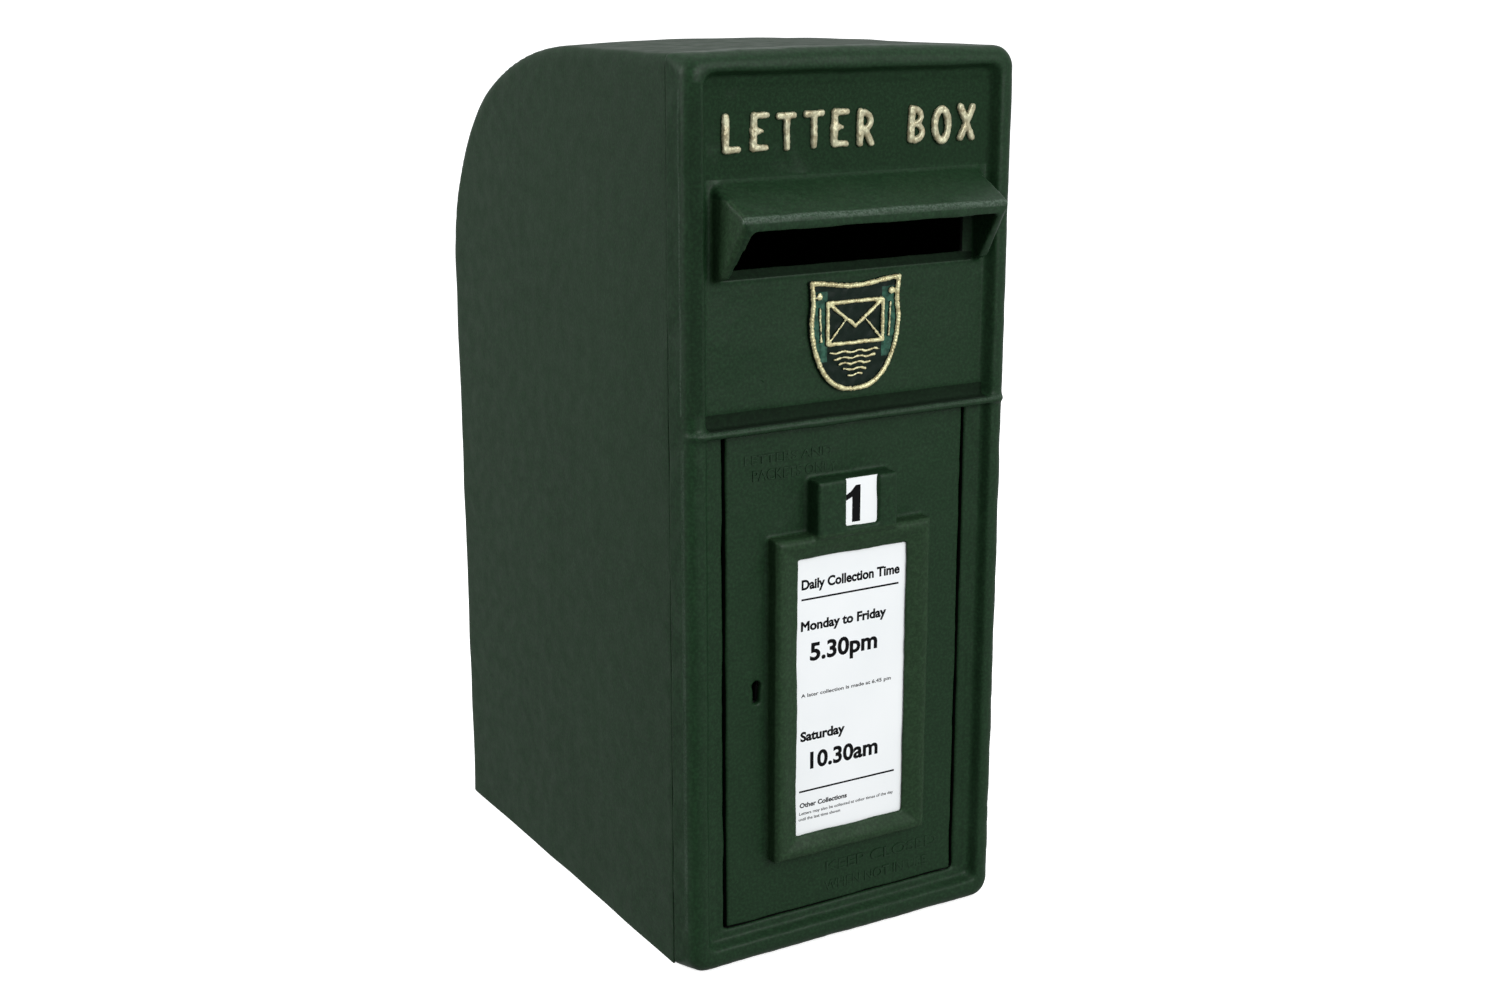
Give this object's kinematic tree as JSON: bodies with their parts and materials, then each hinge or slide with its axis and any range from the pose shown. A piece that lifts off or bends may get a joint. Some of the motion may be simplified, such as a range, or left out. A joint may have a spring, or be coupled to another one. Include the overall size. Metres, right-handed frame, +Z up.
{
  "type": "mailbox",
  "caption": "Upright letter box with a cast front, hooded letter slot, lockable hinged door that holds a collection card, and a bent sheet body.",
  "frame": {"origin": "bottom centre of the whole box", "axes": "+X to the right seen from the front, +Y into the box (the front faces -Y), +Z up"},
  "size_m": [0.24, 0.3874, 0.5862],
  "materials": {
    "green_casting": "dark green semi-gloss paint over a sand-cast surface",
    "green_sheet": "dark green satin paint with a fine orange-peel texture",
    "gold_paint": "hand-applied gold paint",
    "emblem_green": "teal green gloss paint",
    "white_card": "smooth printed card",
    "zinc_steel": "zinc plated",
    "bare_steel": "turned steel",
    "brass": "machined brass",
    "black_lacquer": "black lacquer"
  },
  "bodies": {
    "cabinet": {"side_panel_left": "green_sheet", "side_panel_right": "green_sheet", "wrap_sheet": "green_sheet", "base_plate": "green_sheet", "front_frame": "green_casting", "raised_lettering": "gold_paint", "emblem_plaque": "emblem_green", "emblem_gilding": "gold_paint", "frame_screws": "zinc_steel", "frame_washers": "zinc_steel", "hinge_pin_upper": "bare_steel", "hinge_pin_lower": "bare_steel", "hinge_washer": "brass"},
    "door": {"door": "green_casting", "times_card": "white_card", "card_backplate": "zinc_steel", "backplate_screws": "zinc_steel", "lock_case": "black_lacquer", "lock_cap": "black_lacquer", "lock_cap_screws": "zinc_steel", "lock_screws": "zinc_steel", "bolt_spring": "bare_steel", "bolt_stump": "bare_steel", "key_post": "bare_steel"},
    "bolt": {"lock_bolt": "brass"},
    "number": {"number_card": "white_card"}
  },
  "joints": [
    {"name": "door_hinge", "type": "hinge", "parent": "cabinet", "child": "door", "pos_m": [0.0843, -0.15575, 0.19], "axis": [0, 0, 1], "range_deg": [0, 105]},
    {"name": "bolt_slide", "type": "slide", "parent": "door", "child": "bolt", "axis": [-1, 0, 0], "range_m": [0, 0.01]},
    {"name": "number_card_slide", "type": "slide", "parent": "door", "child": "number", "axis": [0, 0, 1], "range_m": [0, 0.03]}
  ]
}
